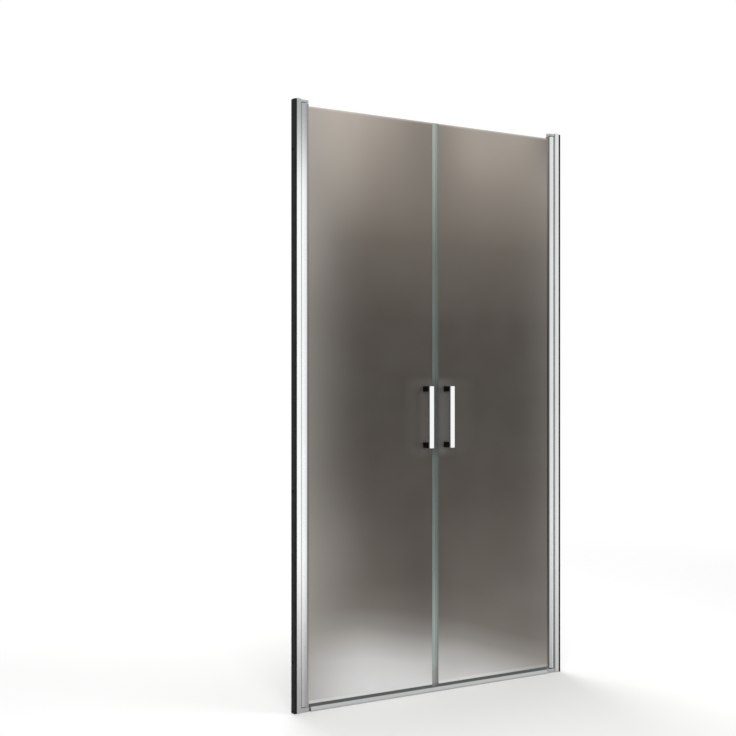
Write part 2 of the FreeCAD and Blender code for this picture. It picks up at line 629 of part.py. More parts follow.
def bottom_seal():
    """Clip-on strip under the glass, with two lips spread over the threshold rail."""
    leg = f"({GLASS_HALF} + bottom_seal_wall)"
    rim = f"({GLASS_FOOT} + bottom_seal_grip)"
    web_foot = f"({GLASS_FOOT} - bottom_seal_wall)"
    tip = f"({GLASS_HALF} - bottom_seal_wall + bottom_seal_spread)"
    front = [
        (f"-{leg}", web_foot),
        (f"-{leg}", rim),
        (f"-{GLASS_HALF}", rim),
        (f"-{GLASS_HALF}", GLASS_FOOT),
    ]
    back = [
        (GLASS_HALF, GLASS_FOOT),
        (GLASS_HALF, rim),
        (leg, rim),
        (leg, web_foot),
    ]
    back_lip = [
        (GLASS_HALF, web_foot),
        (tip, LIP_TIP),
        (f"({tip} - bottom_seal_wall)", LIP_TIP),
        (f"({GLASS_HALF} - bottom_seal_wall)", web_foot),
    ]
    front_lip = [(f"-{across}", up) for across, up in reversed(back_lip)]
    span = (f"{GASKET_END} + bottom_seal_end_gap", f"{SEAL_BACK} - bottom_seal_end_gap")
    return extrusion("bottom_seal", "YZ_Plane", span, front + back + back_lip + front_lip)


def magnet_seal():
    """Clear strip along the free edge and down to the lips' tips, with a chamber for the magnet strip."""
    outline = [
        (SEAL_FACE, f"-{SEAL_HALF}"),
        (SEAL_FACE, SEAL_HALF),
        (SEAL_BACK, SEAL_HALF),
        (SEAL_BACK, GLASS_HALF),
        (GLASS_SEAM_EDGE, GLASS_HALF),
        (GLASS_SEAM_EDGE, f"-{GLASS_HALF}"),
        (SEAL_BACK, f"-{GLASS_HALF}"),
        (SEAL_BACK, f"-{SEAL_HALF}"),
    ]
    chamber = rectangle(CHAMBER_X, both_sides(CHAMBER_HALF))
    strip = extrusion("magnet_seal", "XY_Plane", (LIP_TIP, GLASS_TOP), outline, chamber)
    edges = [corner for corner in outline if corner[1] in (SEAL_HALF, f"-{SEAL_HALF}")]
    round_long_edges(strip, edges, within("seal_rounding", "seal_wall"))
    return strip


def magnet_strip():
    """Magnet strip that draws the two leaves together."""
    low, high = CHAMBER_X
    return box(
        "magnet_strip",
        (f"{low} + magnet_clearance", f"{high} - magnet_clearance"),
        both_sides(f"({CHAMBER_HALF} - magnet_clearance)"),
        (f"{LIP_TIP} + magnet_end_inset", f"{GLASS_TOP} - magnet_end_inset"),
    )


def facing(side, near, far):
    """A range of distances from the glass plane, outside (side -1) or inside (side 1) the shower."""
    return (near, far) if side > 0 else (f"-{far}", f"-{near}")


def handle_bar(name, side):
    """Square bar of a handle, with blind bores for the posts' spigots."""
    x = (f"{HANDLE} - bar_width / 2", f"{HANDLE} + bar_width / 2")
    z = ("handle_height - bar_length / 2", "handle_height + bar_length / 2")
    bar = extrusion(f"{name}_body", "XY_Plane", z, rectangle(x, facing(side, BAR_BACK, BAR_FACE)))
    every_edge = range(1, len(bar.Tip.Shape.Edges) + 1)
    dress("Fillet", bar, every_edge, "Radius", "bar_rounding")
    depth = facing(side, f"({BAR_BACK} - {OVERSHOOT})", f"({BAR_BACK} + spigot_length + bore_end_gap)")
    bores = [
        rod(f"{name}_bore_{i}", HANDLE, depth, height, "spigot_radius + seat_clearance")
        for i, height in enumerate(POST_HEIGHTS)
    ]
    return cut(name, bar, *bores)


def handle_posts(name, side, with_grub_bore):
    """Two posts between glass and bar: a spigot for the bar, a bore for the stud."""
    posts = []
    for i, height in enumerate(POST_HEIGHTS):
        x = (f"{HANDLE} - post_width / 2", f"{HANDLE} + post_width / 2")
        z = (f"{height} - post_height / 2", f"{height} + post_height / 2")
        shaft_span = facing(side, POST_FOOT, BAR_BACK)
        shaft = extrusion(f"{name}_shaft_{i}", "XZ_Plane", shaft_span, rectangle(x, z))
        rounding = within("post_rounding", "(min(post_width; post_height) / 2)")
        round_long_edges(shaft, rectangle(x, z), rounding, "XZ_Plane")
        spigot_span = facing(side, BAR_BACK, f"({BAR_BACK} + spigot_length)")
        spigot = rod(f"{name}_spigot_{i}", HANDLE, spigot_span, height, "spigot_radius")
        bore_end = f"({POST_FOOT} + stud_engagement + bore_end_gap)"
        bore_span = facing(side, f"({POST_FOOT} - {OVERSHOOT})", bore_end)
        bores = [rod(f"{name}_bore_{i}", HANDLE, bore_span, height, "stud_radius + seat_clearance")]
        if with_grub_bore:
            grub_span = (f"{height} - post_height / 2 - {OVERSHOOT}", height)
            grub_y = facing(side, GRUB_LINE, GRUB_LINE)[0]
            radius = "grub_radius + seat_clearance"
            bores.append(rod(f"{name}_grub_bore_{i}", HANDLE, grub_y, grub_span, radius))
        posts.append(cut(f"{name}_{i}", fuse(f"{name}_blank_{i}", shaft, spigot), *bores))
    return group(name, posts)


def handle_grub_screws():
    """Grub screws up through the inner posts against the studs."""
    screws = []
    for i, height in enumerate(POST_HEIGHTS):
        foot = f"{height} - post_height / 2 + bore_end_gap"
        span = (foot, f"{height} - stud_radius - seat_clearance")
        shank = rod(f"grub_shank_{i}", HANDLE, GRUB_LINE, span, "grub_radius")
        key_span = (f"{foot} - {OVERSHOOT}", f"{foot} + grub_socket_depth")
        key = socket(f"grub_socket_{i}", HANDLE, GRUB_LINE, key_span, "grub_socket_radius")
        screws.append(cut(f"handle_grub_screw_{i}", shank, key))
    return group("handle_grub_screws", screws)


def handle_studs():
    """Threaded studs through the glass that pull both handles together."""
    reach = f"({POST_FOOT} + stud_engagement)"
    return group("handle_studs", [
        rod(f"handle_stud_{i}", HANDLE, both_sides(reach), height, "stud_radius")
        for i, height in enumerate(POST_HEIGHTS)
    ])


def ring(name, y, z, outer_radius):
    """A ring round a handle stud."""
    disc = rod(f"{name}_disc", HANDLE, y, z, outer_radius)
    bore = rod(f"{name}_bore", HANDLE, past(y), z, "stud_radius + seat_clearance")
    return cut(name, disc, bore)


def handle_sleeves():
    """Sleeves that keep the studs off the glass."""
    return group("handle_sleeves", [
        ring(f"handle_sleeve_{i}", both_sides(GLASS_HALF), height, "sleeve_radius")
        for i, height in enumerate(POST_HEIGHTS)
    ])


def handle_washers():
    """Nylon washers between the posts and the glass, on both faces."""
    return group("handle_washers", [
        ring(f"handle_washer_{i}_{side}", facing(side, GLASS_HALF, POST_FOOT), height, "washer_radius")
        for i, height in enumerate(POST_HEIGHTS)
        for side in (-1, 1)
    ])


def outer_handle_bar():
    """Bar outside the shower."""
    return handle_bar("outer_handle_bar", -1)


def outer_handle_posts():
    """Posts outside the shower."""
    return handle_posts("outer_handle_posts", -1, with_grub_bore=False)


def inner_handle_bar():
    """Bar inside the shower."""
    return handle_bar("inner_handle_bar", 1)


def inner_handle_posts():
    """Posts inside the shower, locked by grub screws."""
    return handle_posts("inner_handle_posts", 1, with_grub_bore=True)


def threshold_rail():
    """Low rail between the bottom brackets that keeps water in."""
    end = f"({BOTTOM_BRACKET_TIP} + threshold_end_gap)"
    foot = "(threshold_foot_depth / 2)"
    crown = "(threshold_crown_depth / 2)"
    outline = [
        (f"-{foot}", FLOOR),
        (foot, FLOOR),
        (foot, "threshold_foot_height"),
        (crown, "sill_height"),
        (f"-{crown}", "sill_height"),
        (f"-{foot}", "threshold_foot_height"),
    ]
    rail = extrusion("threshold_rail", "YZ_Plane", (end, f"-{end}"), outline)
    round_long_edges(rail, [outline[3], outline[4]], "threshold_rounding", "YZ_Plane")
    return rail


# Each piece of one half of the door. The right half repeats them in a mirror.
HALF_PIECES = (
    wall_gasket, wall_profile, profile_cap, jamb_profile,
    top_bracket, bottom_bracket, top_pivot_pin, bottom_pivot_pin,
    jamb_screws, screw_caps,
    hinge_profile, top_bush, bottom_bush, glass, glazing_gasket,
    bottom_seal, magnet_seal, magnet_strip,
    outer_handle_bar, outer_handle_posts, inner_handle_bar, inner_handle_posts,
    handle_studs, handle_sleeves, handle_washers, handle_grub_screws,
)


def mirror(piece, name):
    """The same piece on the other side of the door."""
    reflection = doc.addObject("Part::Mirroring", name)
    reflection.Source = piece
    reflection.Base = FreeCAD.Vector(0, 0, 0)
    reflection.Normal = FreeCAD.Vector(1, 0, 0)
    return reflection


def build_door():
    """Every sub-part of the door, labelled with its own name."""
    sub_parts = [threshold_rail()]
    for make in HALF_PIECES:
        left = make()
        left.Label = f"left_{make.__name__}"
        right = mirror(left, f"right_{make.__name__}")
        right.Label = f"right_{make.__name__}"
        sub_parts += [left, right]
    doc.recompute()
    return sub_parts


def check(sub_parts):
    """Stop if a feature failed or a sub-part isn't made of sound solids."""
    failed = [f.Name for f in doc.Objects if {"Invalid", "Error"} & set(f.State)]
    if failed:
        raise RuntimeError(f"failed features: {failed}")
    for piece in sub_parts:
        shape = piece.Shape
        if shape.isNull() or not shape.isValid() or not shape.Solids:
            raise RuntimeError(f"{piece.Label} has no sound solid")


door = build_door()
check(door)
os.makedirs("parts", exist_ok=True)
for sub_part in door:
    sub_part.Shape.exportStep(f"parts/{sub_part.Label}.step")
    print(sub_part.Label, len(sub_part.Shape.Solids), round(sub_part.Shape.Volume, 1))
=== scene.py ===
import json
import math

import bmesh
import bpy
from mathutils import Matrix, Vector


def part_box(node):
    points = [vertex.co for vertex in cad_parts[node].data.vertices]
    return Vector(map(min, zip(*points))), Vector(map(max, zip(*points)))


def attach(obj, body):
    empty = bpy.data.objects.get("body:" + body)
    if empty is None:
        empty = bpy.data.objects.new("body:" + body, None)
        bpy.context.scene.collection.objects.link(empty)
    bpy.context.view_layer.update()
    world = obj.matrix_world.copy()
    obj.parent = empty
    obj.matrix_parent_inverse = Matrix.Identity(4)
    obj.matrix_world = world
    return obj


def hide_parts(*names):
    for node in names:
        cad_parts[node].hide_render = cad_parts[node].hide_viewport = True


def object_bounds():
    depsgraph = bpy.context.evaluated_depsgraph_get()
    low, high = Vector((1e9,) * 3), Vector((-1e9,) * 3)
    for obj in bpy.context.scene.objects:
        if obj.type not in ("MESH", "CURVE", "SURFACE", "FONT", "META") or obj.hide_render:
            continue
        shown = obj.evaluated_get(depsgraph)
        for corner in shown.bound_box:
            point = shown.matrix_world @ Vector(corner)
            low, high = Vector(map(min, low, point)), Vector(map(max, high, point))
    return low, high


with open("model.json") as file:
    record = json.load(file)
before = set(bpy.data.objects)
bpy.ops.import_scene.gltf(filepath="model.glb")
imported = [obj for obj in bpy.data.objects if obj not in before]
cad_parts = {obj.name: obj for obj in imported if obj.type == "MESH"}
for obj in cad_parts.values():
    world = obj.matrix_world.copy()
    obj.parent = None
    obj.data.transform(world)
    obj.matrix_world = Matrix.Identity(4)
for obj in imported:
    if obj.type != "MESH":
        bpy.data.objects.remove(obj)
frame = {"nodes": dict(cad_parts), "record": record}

cad_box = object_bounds()
nodes = frame["nodes"]
record = frame["record"]
scene = bpy.context.scene

DOOR_HEIGHT = cad_box[1][2]
MM = 0.001

# Each side of the door, and the sign of its X.
SIDES = {"left": -1, "right": 1}

# Camera: its place in metres, its heading to the right of straight ahead, and its image in pixels.
CAMERA_PLACE = (-2.083, -3.083, 0.966)
CAMERA_HEADING = math.radians(30.816)
IMAGE_PIXELS = 736
FOCAL_PIXELS = 1183
HORIZON_ROW = 383
SENSOR_WIDTH = 36.0


def add_camera():
    """Level camera to the left of the door."""
    data = bpy.data.cameras.new("camera")
    data.sensor_width = SENSOR_WIDTH
    data.lens = SENSOR_WIDTH * FOCAL_PIXELS / IMAGE_PIXELS
    data.shift_y = (HORIZON_ROW - IMAGE_PIXELS / 2) / IMAGE_PIXELS
    camera = bpy.data.objects.new("camera", data)
    camera.location = CAMERA_PLACE
    camera.rotation_euler = (math.radians(90), 0, -CAMERA_HEADING)
    scene.collection.objects.link(camera)
    scene.camera = camera


# Shader helpers

BLACK = (0.0, 0.0, 0.0)
WHITE = (1.0, 1.0, 1.0)

# The part of 0 to 1 in which most of a noise lies.
NOISE_LIMITS = (0.3, 0.7)


class Tree:
    """A node tree, with short ways to add nodes that are set or linked as they are made."""

    def __init__(self, owner):
        owner.use_nodes = True
        self.tree = owner.node_tree
        self.tree.nodes.clear()

    def plug(self, socket, source):
        """Link a socket to another one, or set it to a value or colour."""
        if isinstance(source, bpy.types.NodeSocket):
            self.tree.links.new(source, socket)
        elif isinstance(source, tuple) and socket.type == "RGBA":
            socket.default_value = (*source, 1.0)
        else:
            socket.default_value = source

    def add(self, kind, inputs=None, **settings):
        """A node with some settings, and inputs by socket name or number."""
        node = self.tree.nodes.new("ShaderNode" + kind)
        for name, setting in settings.items():
            setattr(node, name, setting)
        for key, source in (inputs or {}).items():
            self.plug(node.inputs[key], source)
        return node

    def math(self, operation, first, second=0.0):
        """The result of an operation on two numbers."""
        return self.add("Math", {0: first, 1: second}, operation=operation).outputs[0]

    def apart(self, first, second):
        """How far two numbers lie apart."""
        return self.math("ABSOLUTE", self.math("SUBTRACT", first, second))

    def rise(self, source, low, high, start=0.0, end=1.0, kind="SMOOTHSTEP"):
        """A number that goes from start to end while its source goes from low to high."""
        limits = {0: source, 1: low, 2: high, 3: start, 4: end}
        return self.add("MapRange", limits, interpolation_type=kind).outputs[0]

    def spread(self, noise, start=0.0, end=1.0):
        """A number between start and end that follows a noise."""
        return self.rise(noise, *NOISE_LIMITS, start, end)

    def ramp(self, place, stops):
        """Colour along stops of (place, colour)."""
        node = self.add("ValToRGB", {"Fac": place})
        elements = node.color_ramp.elements
        while len(elements) < len(stops):
            elements.new(0.5)
        for element, (position, colour) in zip(elements, stops):
            element.position = position
            element.color = (*colour, 1.0)
        return node.outputs[0]

    def up_the_door(self, up, stops):
        """Colour along stops of (height in metres, colour)."""
        share = self.math("DIVIDE", up, DOOR_HEIGHT)
        return self.ramp(share, [(height / DOOR_HEIGHT, colour) for height, colour in stops])

    def mix(self, share, first, second):
        """Colour between two others."""
        return self.add("Mix", {0: share, 6: first, 7: second}, data_type="RGBA").outputs[2]

    def place(self):
        """X, Y and Z in metres in the door's own frame, which turn with a leaf."""
        point = self.add("TexCoord").outputs["Object"]
        return self.add("SeparateXYZ", {0: point}).outputs

    def noise(self, per_metre, stretch=(1.0, 1.0, 1.0), detail=3.0):
        """Noise with so many features to the metre, stretched along the axes."""
        point = self.add("TexCoord").outputs["Object"]
        stretched = self.add("Mapping", {"Vector": point, "Scale": stretch}).outputs[0]
        pattern = {"Vector": stretched, "Scale": per_metre, "Detail": detail}
        return self.add("TexNoise", pattern).outputs["Fac"]

    def bump(self, height, depth, strength=0.35):
        """Surface normal of a relief of some depth in metres."""
        return self.add("Bump", {"Height": height, "Distance": depth, "Strength": strength}).outputs[0]


def new_material(name):
    """A material and its empty tree, which surface() finishes."""
    material = bpy.data.materials.new(name)
    return material, Tree(material)


def surface(tree, **inputs):
    """Finish a material: a shader with inputs by name, where _ stands for a space."""
    sources = {name.replace("_", " "): source for name, source in inputs.items()}
    shader = tree.add("BsdfPrincipled", sources)
    tree.add("OutputMaterial", {"Surface": shader.outputs[0]})


# Share by which a roughness varies to either side.
ROUGHNESS_SPREAD = 0.15


def uneven_roughness(tree, noise, roughness):
    """A roughness that varies a little with a noise."""
    return tree.spread(noise, roughness * (1 - ROUGHNESS_SPREAD), roughness * (1 + ROUGHNESS_SPREAD))


# Stretch of a noise into fine lines along one axis of the door.
LINES_ALONG_X = (0.004, 1.0, 1.0)
LINES_ALONG_Z = (1.0, 1.0, 0.004)


# Metals. Their tones are a deeper and a paler one. The bright extrusions have them for each side,
# painted lighter on the left as light and darker on the right as shade.

SIDE_LIT_BRIGHT_TONES = {
    "left": ((0.90, 0.905, 0.91), (0.96, 0.965, 0.97)),
    "right": ((0.70, 0.705, 0.71), (0.76, 0.765, 0.77)),
}
DULL_TONES = ((0.46, 0.465, 0.47), (0.52, 0.525, 0.53))
THRESHOLD_TONES = ((0.47, 0.475, 0.48), (0.51, 0.515, 0.52))
CAST_TONES = ((0.40, 0.405, 0.41), (0.52, 0.525, 0.53))
CHROME_TONES = ((0.89, 0.90, 0.91), (0.95, 0.955, 0.96))
STEEL_TONES = ((0.48, 0.48, 0.49), (0.64, 0.64, 0.65))
# Grey that is painted on the upright profiles as shade.
PAINTED_SHADE_GREY = (0.18, 0.183, 0.186)

WIPING_STRETCH = (1.0, 1.0, 0.15)
WIPING_LIMITS = (0.3, 0.8)
TURNING_STRETCH = (0.2, 1.0, 1.0)


def extruded_aluminium(name, tones, roughness, lines, painted_shade_parts=()):
    """Aluminium with die lines, a slow change of gloss and parts that are painted greyer as shade.

    A part of painted shade is an axis, the start and end of the change in metres from 0, and a share of
    grey.
    """
    material, tree = new_material(name)
    place = tree.place()
    die_lines = tree.noise(per_metre=1600.0, stretch=lines, detail=1.0)
    haze = tree.noise(per_metre=5.0)
    mean = tree.math("MULTIPLY", tree.math("ADD", die_lines, haze), 0.5)
    colour = tree.mix(tree.spread(mean), *tones)
    for axis, start, end, share in painted_shade_parts:
        distance = tree.math("ABSOLUTE", place[axis])
        colour = tree.mix(tree.rise(distance, start, end, 0.0, share), colour, PAINTED_SHADE_GREY)
    surface(
        tree,
        Base_Color=colour,
        Metallic=1.0,
        Roughness=uneven_roughness(tree, haze, roughness),
        Normal=tree.bump(die_lines, depth=0.01 * MM, strength=0.08),
    )
    return material


def cast_metal(name):
    """Satin casting with a fine blasted skin."""
    material, tree = new_material(name)
    skin = tree.noise(per_metre=1500.0)
    haze = tree.noise(per_metre=60.0)
    surface(
        tree,
        Base_Color=tree.mix(haze, *CAST_TONES),
        Metallic=1.0,
        Roughness=tree.spread(haze, 0.30, 0.42),
        Normal=tree.bump(skin, depth=0.04 * MM),
    )
    return material


def chrome(name):
    """Mirror chrome with faint wiping marks."""
    material, tree = new_material(name)
    wiping = tree.noise(per_metre=120.0, stretch=WIPING_STRETCH, detail=4.0)
    surface(
        tree,
        Base_Color=tree.mix(wiping, *CHROME_TONES),
        Metallic=1.0,
        Roughness=tree.rise(wiping, *WIPING_LIMITS, 0.06, 0.14),
        Normal=tree.bump(wiping, depth=0.01 * MM, strength=0.2),
    )
    return material


def turned_steel(name):
    """Stainless steel with fine turning marks."""
    material, tree = new_material(name)
    marks = tree.noise(per_metre=1800.0, stretch=TURNING_STRETCH, detail=2.0)
    surface(
        tree,
        Base_Color=tree.mix(marks, *STEEL_TONES),
        Metallic=1.0,
        Roughness=tree.spread(marks, 0.22, 0.38),
        Normal=tree.bump(marks, depth=0.03 * MM),
    )
    return material


# Moulded finishes: deeper and paler tone, roughness, features of the grain to the metre, and shine.
MOULDED_FINISHES = {
    "bright_cap": ((0.56, 0.565, 0.57), (0.64, 0.645, 0.65), 0.28, 900.0, 0.5),
    "black_post": ((0.002, 0.002, 0.002), (0.004, 0.004, 0.004), 0.4, 900.0, 0.15),
    "dark_bush": ((0.018, 0.018, 0.02), (0.03, 0.03, 0.032), 0.45, 900.0, 0.5),
    "black_rubber": ((0.004, 0.004, 0.005), (0.009, 0.009, 0.010), 0.65, 1400.0, 0.2),
    "magnet": ((0.07, 0.08, 0.075), (0.11, 0.125, 0.115), 0.6, 900.0, 0.5),
    "clear_washer": ((0.5, 0.5, 0.48), (0.6, 0.6, 0.58), 0.35, 900.0, 0.5),
}


def moulded(name, deep, pale, roughness, grain, shine):
    """Moulded plastic or rubber with a fine grain and slightly uneven colour."""
    material, tree = new_material(name)
    skin = tree.noise(per_metre=grain)
    cloud = tree.noise(per_metre=30.0)
    surface(
        tree,
        Base_Color=tree.mix(tree.spread(cloud), deep, pale),
        Roughness=uneven_roughness(tree, skin, roughness),
        Specular_IOR_Level=shine,
        Normal=tree.bump(skin, depth=0.04 * MM),
    )
    return material


# Share of red that a warmth of 1 adds to a grey, and of blue that it takes away.
WARM_RED = 0.13
WARM_BLUE = 0.14


def warm(lightness, warmth):
    """A grey that leans towards red by some warmth."""
    return (lightness * (1 + WARM_RED * warmth), lightness, lightness * (1 - WARM_BLUE * warmth))


# Painted light and shade of the satin glass up the middle of the door: height in metres, lightness and
# warmth.
GLASS_PAINTED_LIGHT_TONES = (
    (0.00, 0.760, 0.0),
    (0.06, 0.720, 0.0),
    (0.12, 0.620, 0.1),
    (0.18, 0.400, 0.3),
    (0.22, 0.255, 0.5),
    (0.28, 0.145, 0.9),
    (0.36, 0.102, 1.1),
    (0.60, 0.061, 1.3),
    (0.90, 0.045, 1.4),
    (1.15, 0.052, 1.4),
    (1.40, 0.105, 1.2),
    (1.60, 0.215, 1.1),
    (1.80, 0.330, 1.0),
)

# The painted pale light at the foot of the panes gets lower towards the right, because each point takes the
# tone of a height above its own. That lift, in metres, grows with a slope from a level place, has a least
# value, grows by a further slope from a second place, and fades out between two heights.
LIFT_LEVEL_PLACE = -0.2
LIFT_SLOPE = 0.215
LEAST_LIFT = -0.015
LIFT_SECOND_PLACE = 0.1
LIFT_FURTHER_SLOPE = 0.1
LIFT_FADE = (0.2, 0.5)

# Light by the hinges: places along the door where it starts and is full. At the left its share changes and
# its tone gets paler between two heights. At the right a shade lies over it in the upper corner.
HINGE_LIGHT_TONE = warm(0.33, 0.5)
LEFT_LIGHT = (-0.22, -0.45)
LEFT_LIGHT_HEIGHTS = (0.4, 0.75)
LEFT_LIGHT_SHARES = (0.72, 0.5)
LEFT_PALER_HEIGHTS = (1.3, 1.78)
LEFT_PALER_TONE = warm(0.40, 0.5)
RIGHT_LIGHT = (0.30, 0.45)
RIGHT_LIGHT_SHARE = 0.2
RIGHT_SHADE_HEIGHTS = (1.6, 1.78)
RIGHT_SHADE_SHARE = 0.4

# Soft patches of painted light and shade on the satin glass: their place along the door and their reach,
# their height and its reach (all in metres), the share of their tone, and that tone.
PAINTED_GLASS_PATCHES = (
    (-0.03, 0.20, 1.78, 0.48, 0.36, BLACK),
    (-0.34, 0.16, 1.78, 0.48, 0.25, warm(0.60, 0.7)),
    (-0.46, 0.14, 1.42, 0.25, 0.22, warm(0.40, 0.5)),
    (0.18, 0.20, 1.70, 0.14, 0.12, warm(0.50, 1.0)),
    (-0.05, 0.17, 0.38, 0.36, 0.24, BLACK),
    (-0.36, 0.18, 0.46, 0.28, 0.13, warm(0.40, 0.5)),
    (0.32, 0.26, 0.245, 0.14, 0.10, warm(0.40, 0.5)),
    (0.07, 0.14, 0.07, 0.06, 0.10, BLACK),
)

# Painted highlight along the top edge of the panes: distances from the top where it starts and is full.
RIM_DEPTHS = (6 * MM, 3 * MM)
RIM_SHARE = 0.3
RIM_HIGHLIGHT_TONE = warm(0.75, 0.4)

# Light that the handles throw on the satin face: place along the door in metres, and its share.
# It fades out past the ends of the handles. The seals between them lie in their shade.
HANDLE_GLOW = (
    (-0.12, 0.00),
    (-0.05, 0.32),
    (-0.01, 0.36),
    (0.02, 0.60),
    (0.04, 0.50),
    (0.08, 0.13),
    (0.16, 0.00),
)
GLOW_TONE = warm(0.15, 0.3)
GLOW_REACH = 0.2
GLOW_FADE = (5 * MM, 35 * MM)
SEAL_SHADE = 0.33

# Faint clouds in the satin, and the green of the pane's edges: how squarely a face looks to the front or
# back where it starts to count as an edge and where it is one.
CLOUD_SHARE = 0.05
CLOUD_TONE = (0.2, 0.195, 0.19)
EDGE_LIMITS = (0.8, 0.5)
EDGE_SHARE = 0.8
EDGE_GREEN = (0.30, 0.38, 0.34)


def toned_height(tree, across, up):
    """Height whose tone a point of the glass takes on."""
    lift = tree.math("MULTIPLY", tree.math("SUBTRACT", across, LIFT_LEVEL_PLACE), LIFT_SLOPE)
    lift = tree.math("MAXIMUM", lift, LEAST_LIFT)
    past_second = tree.math("MAXIMUM", tree.math("SUBTRACT", across, LIFT_SECOND_PLACE), 0.0)
    lift = tree.math("ADD", lift, tree.math("MULTIPLY", past_second, LIFT_FURTHER_SLOPE))
    return tree.math("ADD", up, tree.math("MULTIPLY", lift, tree.rise(up, *LIFT_FADE, 1.0, 0.0)))


def towards_hinge(tree, across, limits):
    """A share that grows ever faster between two places along the door."""
    return tree.math("POWER", tree.rise(across, *limits, kind="LINEAR"), 2.0)


def add_hinge_light(tree, tone, across, up):
    """Mix the light by both hinges, and the shade over it at the right, into the tone of the glass."""
    left_share = tree.math(
        "MULTIPLY",
        towards_hinge(tree, across, LEFT_LIGHT),
        tree.rise(up, *LEFT_LIGHT_HEIGHTS, *LEFT_LIGHT_SHARES),
    )
    left_tone = tree.mix(tree.rise(up, *LEFT_PALER_HEIGHTS), HINGE_LIGHT_TONE, LEFT_PALER_TONE)
    tone = tree.mix(left_share, tone, left_tone)
    by_right = towards_hinge(tree, across, RIGHT_LIGHT)
    tone = tree.mix(tree.math("MULTIPLY", by_right, RIGHT_LIGHT_SHARE), tone, HINGE_LIGHT_TONE)
    shade = tree.rise(up, *RIGHT_SHADE_HEIGHTS, 0.0, RIGHT_SHADE_SHARE)
    return tree.mix(tree.math("MULTIPLY", by_right, shade), tone, BLACK)


def add_patch(tree, tone, across, up, patch):
    """Mix one soft patch of painted light or painted shade into the tone of the glass."""
    x, reach_across, z, reach_up, share, patch_tone = patch
    fade_across = tree.rise(tree.apart(across, x), reach_across, 0.0, 0.0, share)
    fade_up = tree.rise(tree.apart(up, z), reach_up, 0.0)
    return tree.mix(tree.math("MULTIPLY", fade_across, fade_up), tone, patch_tone)


def add_rim_highlight(tree, tone, up):
    """Mix the painted highlight along the top of the panes into their tone."""
    pane_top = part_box("left_glass")[1][2]
    at_rim = tree.rise(up, *(pane_top - depth for depth in RIM_DEPTHS), 0.0, RIM_SHARE)
    return tree.mix(at_rim, tone, RIM_HIGHLIGHT_TONE)


def level_with_handles(tree, up, share=1.0):
    """A share that holds from the foot to the head of the handles and fades past them."""
    low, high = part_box("left_outer_handle_bar")
    middle, half = (low[2] + high[2]) / 2, (high[2] - low[2]) / 2
    return tree.rise(tree.apart(up, middle), *(half + fade for fade in GLOW_FADE), share, 0.0)


def handle_glow(tree, across, up):
    """Share of light that the handles throw on the glass."""
    stops = [((x + GLOW_REACH) / (2 * GLOW_REACH), (share,) * 3) for x, share in HANDLE_GLOW]
    beside = tree.ramp(tree.rise(across, -GLOW_REACH, GLOW_REACH, kind="LINEAR"), stops)
    return tree.math("MULTIPLY", beside, level_with_handles(tree, up))


def glass_tone(tree, across, up):
    """Tone of the satin face, painted with light and shade: pale at the foot, deep grey in the middle,
    lighter at the top.
    """
    stops = [(height, warm(grey, warmth)) for height, grey, warmth in GLASS_PAINTED_LIGHT_TONES]
    tone = tree.up_the_door(toned_height(tree, across, up), stops)
    tone = add_hinge_light(tree, tone, across, up)
    for patch in PAINTED_GLASS_PATCHES:
        tone = add_patch(tree, tone, across, up, patch)
    tone = add_rim_highlight(tree, tone, up)
    tone = tree.mix(handle_glow(tree, across, up), tone, GLOW_TONE)
    cloud = tree.noise(per_metre=7.0)
    return tree.mix(tree.spread(cloud, 0.0, CLOUD_SHARE), tone, CLOUD_TONE)


def satin_glass(name):
    """Satin pane with fine frost, green edges and painted light and shade."""
    material, tree = new_material(name)
    across, _, up = tree.place()
    facing = tree.add("SeparateXYZ", {0: tree.add("TexCoord").outputs["Normal"]}).outputs[1]
    on_edge = tree.rise(tree.math("ABSOLUTE", facing), *EDGE_LIMITS, 0.0, EDGE_SHARE)
    frost = tree.noise(per_metre=2600.0, detail=2.0)
    surface(
        tree,
        Base_Color=tree.mix(on_edge, glass_tone(tree, across, up), EDGE_GREEN),
        Roughness=tree.spread(frost, 0.45, 0.58),
        Transmission_Weight=0.15,
        IOR=1.5,
        Specular_IOR_Level=0.2,
        Normal=tree.bump(frost, depth=0.02 * MM, strength=0.3),
    )
    return material


# Painted light and shade of the clear seal up the door: height in metres and colour.
SEAL_TONES = (
    (0.018, (0.19, 0.195, 0.19)),
    (0.028, (0.36, 0.37, 0.36)),
    (0.065, (0.385, 0.395, 0.385)),
    (0.09, (0.41, 0.48, 0.455)),
    (0.20, (0.38, 0.45, 0.43)),
    (0.40, (0.21, 0.255, 0.245)),
    (0.66, (0.135, 0.166, 0.16)),
    (1.10, (0.105, 0.135, 0.125)),
    (1.38, (0.17, 0.203, 0.187)),
    (1.67, (0.40, 0.435, 0.405)),
    (1.80, (0.47, 0.50, 0.47)),
)

# The strip on the right leaf is painted darker as shade: places along the door where that starts and ends,
# and its share.
RIGHT_SEAL_SHADE_PLACES = (-4 * MM, 10 * MM)
RIGHT_SEAL_SHADE_SHARE = 0.45

# Paler streaks along the clear seal.
STREAK_SHARE = 0.12
STREAK_TONE = (0.45, 0.52, 0.49)


